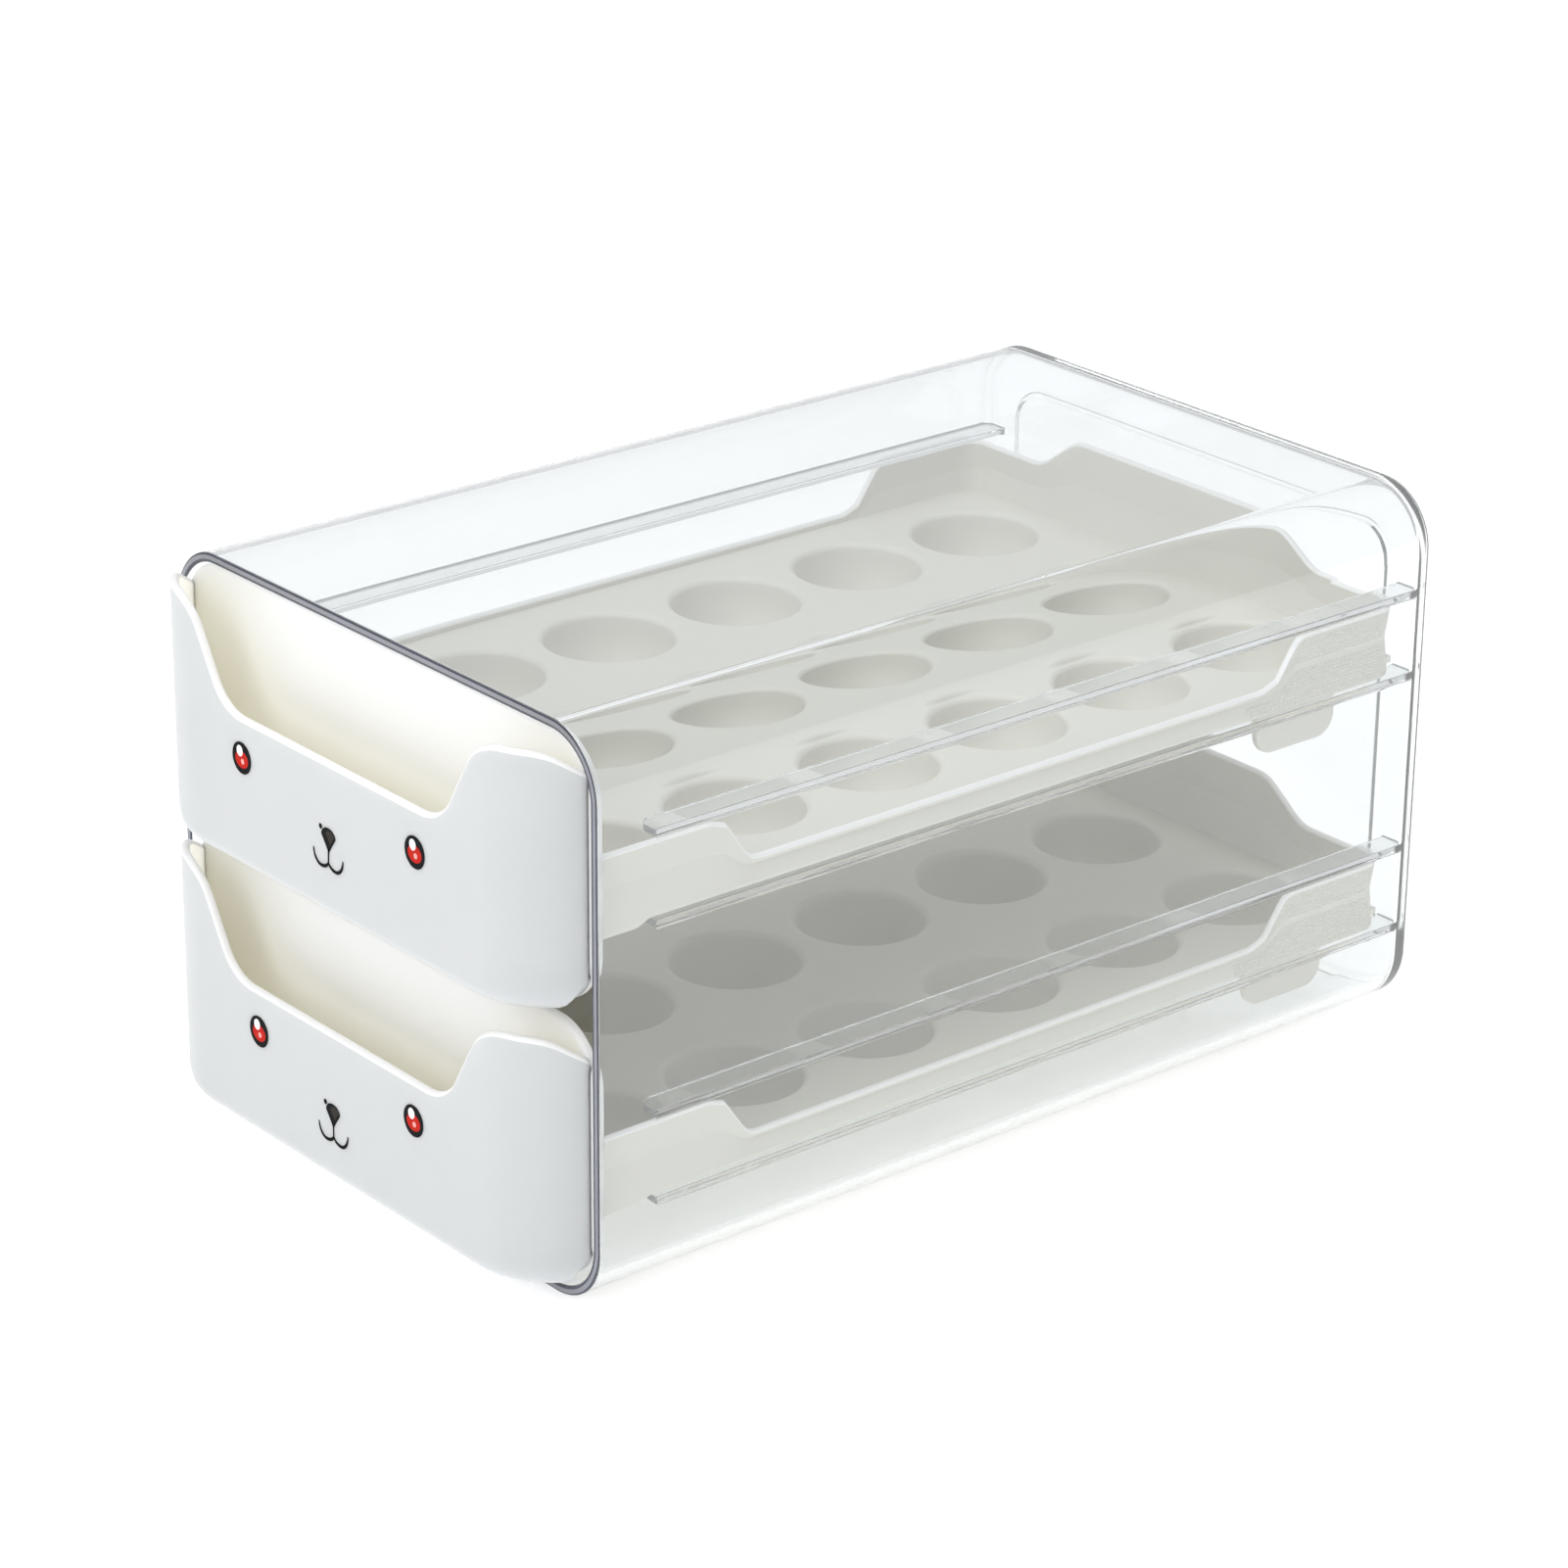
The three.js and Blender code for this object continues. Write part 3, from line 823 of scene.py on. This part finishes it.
def moulded_plastic(name, colour, shade, roughness, grain=900, bump=0.05, depth=0.0, woven=False):
    """White plastic: faint cloudy variation of colour and roughness, and a fine moulded grain.

    Light reaches about depth into it, which brightens what lies behind a thin wall.
    """
    fixed = {"IOR": PLASTIC_IOR}
    if depth:
        fixed["Subsurface Weight"] = 1.0
        fixed["Subsurface Radius"] = SUBSURFACE_RADIUS
        fixed["Subsurface Scale"] = depth
    look = Look(name, fixed)
    clouds = look.noise(CLOUD_SCALE, detail=3)
    look.tint(clouds, colour, shade)
    gloss = look.nodes.new("ShaderNodeMapRange")
    gloss.inputs["To Min"].default_value = roughness - GLOSS_SPREAD
    gloss.inputs["To Max"].default_value = roughness + GLOSS_SPREAD
    look.links.new(clouds, gloss.inputs["Value"])
    look.links.new(gloss.outputs["Result"], look.shader.inputs["Roughness"])
    relief = look.bump(look.noise(grain), bump, GRAIN_DISTANCE)
    if woven:
        relief = look.bump(weave(look), WEAVE_STRENGTH, WEAVE_DISTANCE, under=relief)
    look.links.new(relief, look.shader.inputs["Normal"])
    return look.material


def painted_glow_through(material, colour, strength):
    """A painted glow on a pocket's inside, standing in for the light that reaches it through the thin wall
    in front of it.
    """
    shader = material.node_tree.nodes["Principled BSDF"]
    shader.inputs["Emission Color"].default_value = (*colour, 1)
    shader.inputs["Emission Strength"].default_value = strength


def clear_plastic(name, colour, through):
    """Polished clear plastic that lets lamp light through to what is behind it."""
    look = Look(name, {
        "Base Color": (*colour, 1), "Roughness": 0.0, "IOR": PLASTIC_IOR, "Transmission Weight": 0.94,
    })
    flow = look.noise(FLOW_SCALE, detail=1)
    look.links.new(look.bump(flow, FLOW_STRENGTH, FLOW_DISTANCE), look.shader.inputs["Normal"])
    path = look.nodes.new("ShaderNodeLightPath")
    unbent = look.math("MAXIMUM", path.outputs["Is Shadow Ray"], path.outputs["Is Diffuse Ray"])
    open_air = look.nodes.new("ShaderNodeBsdfTransparent")
    open_air.inputs["Color"].default_value = (*through, 1)
    mix = look.nodes.new("ShaderNodeMixShader")
    look.links.new(unbent, mix.inputs["Fac"])
    look.links.new(look.shader.outputs[0], mix.inputs[1])
    look.links.new(open_air.outputs[0], mix.inputs[2])
    look.links.new(mix.outputs[0], look.nodes["Material Output"].inputs["Surface"])
    return look.material


def rim_painted_shade(name, dark, pale):
    """Painted bluish grey shade on the cut rim of the clear case, in place of the light caught in the
    walls that comes out there.
    """
    look = Look(name, {"Roughness": 0.12, "IOR": PLASTIC_IOR, "Transmission Weight": 0.35})
    look.tint(look.noise(STREAK_SCALE), dark, pale)
    return look.material


def ink(name, colour):
    """Matt printing ink, faintly speckled."""
    look = Look(name, {"Roughness": 0.6, "Specular IOR Level": 0.05})
    speckle = tuple(min(c * SPECKLE_GAIN + SPECKLE_LIFT, 1) for c in colour)
    look.tint(look.noise(SPECKLE_SCALE), colour, speckle)
    return look.material


# ---- printed face ------------------------------------------------------------------------------

def oval(x, z, width, height, steps=40):
    """An oval outline round (x, z)."""
    turn = arc(1, 0, 360 - 360 / steps, steps - 1)
    return [(x + u * width / 2, z + v * height / 2) for u, v in turn]


def stroke(points, width, taper=1.0):
    """A drawn line as an outline: width in the middle, width * taper at its ends."""
    left, right = [], []
    for i, (x, z) in enumerate(points):
        ax, az = points[max(i - 1, 0)]
        bx, bz = points[min(i + 1, len(points) - 1)]
        along = Vector((bx - ax, bz - az)).normalized()
        share = abs(2 * i / (len(points) - 1) - 1)
        half = width / 2 * (1 + (taper - 1) * share ** 3)
        left.append((x - along.y * half, z + along.x * half))
        right.append((x + along.y * half, z - along.x * half))
    return left + right[::-1]


def print_patch(shell, outline, layer, slot):
    """A thin film of ink on the drawer's face; a higher layer lies over a lower one."""
    front = -REACH + INK_DEPTH - INK_FILM * (layer + 1)
    back = -REACH + INK_DEPTH + INK_ROOT
    shell.loft([[(x, front, z) for x, z in outline], [(x, back, z) for x, z in outline]],
               slot=lambda ring, point: slot)


def teardrop(x, z, width, height, steps=36):
    """A nose: broad and flat on top, drawn out to a point below."""
    points = []
    for i in range(steps):
        a = 2 * math.pi * i / steps
        up = math.sin(a)
        taper = 1 if up > 0 else (1 + up) ** NOSE_POINT * (1 + NOSE_SLIM * up)
        share = NOSE_SHARES[0] if up > 0 else NOSE_SHARES[1]
        points.append((x + width / 2 * math.cos(a) * taper, z + height * share * up))
    return points


def mouth_stem(top, end):
    """The line from under the nose to the middle of the mouth."""
    (x0, z0), (x1, z1) = top, end
    shares = [i / STEM_STEPS for i in range(STEM_STEPS + 1)]
    return stroke([(x0 + (x1 - x0) * t, z0 + (z1 - z0) * t) for t in shares], STEM_WIDTH)


def mouth_curl(middle, side):
    """One half of the mouth: down from its middle, then up and out to its end."""
    x, z = middle
    (inner_width, drop), (outer_width, rise) = CURL_INNER, CURL_OUTER
    points = []
    for i in range(CURL_STEPS + 1):
        a = math.pi * i / CURL_STEPS
        if a < math.pi / 2:
            points.append((x + side * inner_width * (1 - math.cos(a)), z - drop * math.sin(a)))
        else:
            out = inner_width - outer_width * math.cos(a)
            points.append((x + side * out, z + rise - drop - rise * math.sin(a)))
    return stroke(points, CURL_WIDTH, CURL_TAPER)


def make_face(tier, lift, inks, eyes, nose, mouth):
    """Prints the face; eyes, nose and mouth say where their middles lie on the front (x, z)."""
    slots = {name: slot for slot, name in enumerate(INK_COLOURS)}
    shell = Shell()
    for x, z in eyes:
        for name, layer, (dx, dz), size in EYE_OVALS:
            print_patch(shell, oval(x + dx, z + dz, *size), layer, slots[name])
    x, z = nose
    for name, layer, (dx, dz), size in NOSE_DROPS:
        print_patch(shell, teardrop(x + dx, z + dz, *size), layer, slots[name])
    dot = oval(x + DOT_AT[0], z + DOT_AT[1], *DOT_SIZE, steps=20)
    lines = [dot, mouth_stem((x, z - STEM_DROP), mouth), mouth_curl(mouth, -1), mouth_curl(mouth, 1)]
    for line in lines:
        print_patch(shell, line, 0, slots["black"])
    piece = shell.make(f"{tier}_face_print", inks, lift)
    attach(piece, f"{tier}_drawer")


# ---- stage, light and camera -------------------------------------------------------------------

FLOOR_HALF = 6.0
FLOOR_HEIGHT = -0.0002            # a hair below the object, so that the two don't flicker
FLOOR_GREYS = ((0.90, 0.90, 0.90), (0.92, 0.92, 0.92))
FLOOR_GLOW = 0.45
LAMP_AIM = Vector((0, 0, 0.08))
SOFTBOXES = (                     # name, place, size, power in watts and colour
    ("key_front", (0.3, -1.8, 1.1), (1.1, 1.1), 12, (0.98, 0.99, 1.0)),
    ("top", (0.0, -0.2, 2.2), (2.6, 2.6), 25, (1, 1, 1)),
    ("back", (-1.75, 1.5, 1.05), (1.8, 1.8), 2.2, (1, 1, 1)),
)
WORLD_COLOUR = (0.97, 0.98, 1.0, 1)
WORLD_STRENGTH = 0.52
CAMERA_AZIMUTH = math.radians(50.0)
CAMERA_ELEVATION = math.radians(22.75)
CAMERA_DISTANCE = 1.489
CAMERA_TARGET = Vector((-0.0031, -0.0003, 0.0862))
CAMERA_ROLL = math.radians(0.54)
CAMERA_LENS = 113.4
CAMERA_SENSOR = 36


def make_stage():
    """A plain pale floor with a little light of its own, which keeps it even."""
    look = Look("pale_floor", {
        "Roughness": 0.9, "Specular IOR Level": 0.1,
        "Emission Color": (1, 1, 1, 1), "Emission Strength": FLOOR_GLOW,
    })
    look.tint(look.noise(3), *FLOOR_GREYS)
    mesh = bpy.data.meshes.new("floor")
    corners = [(-1, -1), (1, -1), (1, 1), (-1, 1)]
    mesh.from_pydata([(x * FLOOR_HALF, y * FLOOR_HALF, FLOOR_HEIGHT) for x, y in corners],
                     [], [(0, 1, 2, 3)])
    mesh.materials.append(look.material)
    floor = bpy.data.objects.new("floor", mesh)
    bpy.context.scene.collection.objects.link(floor)


def softbox(name, place_at, size, power, colour):
    """A rectangular area lamp that faces the object and is itself out of sight."""
    light = bpy.data.lights.new(name, "AREA")
    light.shape = "RECTANGLE"
    light.size, light.size_y = size
    light.energy = power
    light.color = colour
    lamp = bpy.data.objects.new(name, light)
    lamp.location = place_at
    lamp.visible_camera = False
    lamp.rotation_euler = (LAMP_AIM - Vector(place_at)).to_track_quat("-Z", "Y").to_euler()
    bpy.context.scene.collection.objects.link(lamp)


def light_scene():
    """Even light from all round, and the softboxes."""
    world = bpy.data.worlds.new("studio")
    bpy.context.scene.world = world
    world.use_nodes = True
    background = world.node_tree.nodes["Background"]
    background.inputs["Color"].default_value = WORLD_COLOUR
    background.inputs["Strength"].default_value = WORLD_STRENGTH
    for lamp in SOFTBOXES:
        softbox(*lamp)


def make_camera():
    """The photograph's viewpoint."""
    data = bpy.data.cameras.new("camera")
    data.lens = CAMERA_LENS
    data.sensor_width = CAMERA_SENSOR
    camera = bpy.data.objects.new("camera", data)
    towards = Vector((
        math.sin(CAMERA_AZIMUTH) * math.cos(CAMERA_ELEVATION),
        -math.cos(CAMERA_AZIMUTH) * math.cos(CAMERA_ELEVATION),
        math.sin(CAMERA_ELEVATION),
    ))
    turn = (-towards).to_track_quat("-Z", "Y").to_matrix() @ Matrix.Rotation(CAMERA_ROLL, 3, "Z")
    camera.matrix_world = Matrix.Translation(CAMERA_TARGET + towards * CAMERA_DISTANCE) @ turn.to_4x4()
    bpy.context.scene.collection.objects.link(camera)
    bpy.context.scene.camera = camera


# ---- the whole scene ---------------------------------------------------------------------------

make_camera()
make_stage()
light_scene()
bpy.context.scene.view_settings.view_transform = "Standard"
# light has to get through every clear wall and ledge in its way
bpy.context.scene.cycles.max_bounces = 40
bpy.context.scene.cycles.transmission_bounces = 40
bpy.context.scene.cycles.transparent_max_bounces = 24

# the front's outside gets a greyer, cooler copy of the moulding's white: painted shade with a cool cast of
# light
front_white_painted_shade = moulded_plastic("front_white_painted_shade", (0.585, 0.60, 0.607), (0.565, 0.58, 0.587),
                              roughness=0.36, depth=0.006)
# the pocket's inside gets a warm cream copy of the white and a glow of its own: painted light
pocket_cream_painted_light = moulded_plastic("pocket_cream_painted_light", (0.95, 0.93, 0.78), (0.93, 0.91, 0.74),
                               roughness=0.45, depth=0.03)
painted_glow_through(pocket_cream_painted_light, (1.0, 0.90, 0.62), 0.16)
plate_white = moulded_plastic("plate_white", (0.86, 0.86, 0.85), (0.84, 0.84, 0.83),
                              roughness=0.4, depth=0.006)
# the tray's rim gets a lighter copy of the tray's white: painted light on its top
rim_white_painted_light = moulded_plastic("rim_white_painted_light", (0.93, 0.93, 0.91), (0.91, 0.91, 0.89), roughness=0.35)
tray_white = moulded_plastic("tray_white", (0.73, 0.715, 0.645), (0.70, 0.685, 0.615),
                             roughness=0.55, grain=1600, bump=0.25, woven=True)
clear = clear_plastic("clear_plastic", (0.94, 0.957, 0.962), (0.96, 0.965, 0.965))
# the case rim's grey flat and dark lines are painted shade
rim_flat_painted_shade = rim_painted_shade("rim_painted_shade", (0.28, 0.29, 0.33), (0.42, 0.43, 0.47))
rim_line_painted_shade = rim_painted_shade("rim_line_painted_shade", (0.035, 0.04, 0.075), (0.07, 0.075, 0.12))
inks = [ink(f"ink_{name}", colour) for name, colour in INK_COLOURS.items()]

make_case([clear, rim_flat_painted_shade, rim_line_painted_shade])
for tier, lift in TIERS.items():
    make_front(tier, lift, [front_white_painted_shade, pocket_cream_painted_light, plate_white])
    make_tray(tier, lift, [tray_white, rim_white_painted_light])
    make_face(tier, lift, inks, **FACES[tier])
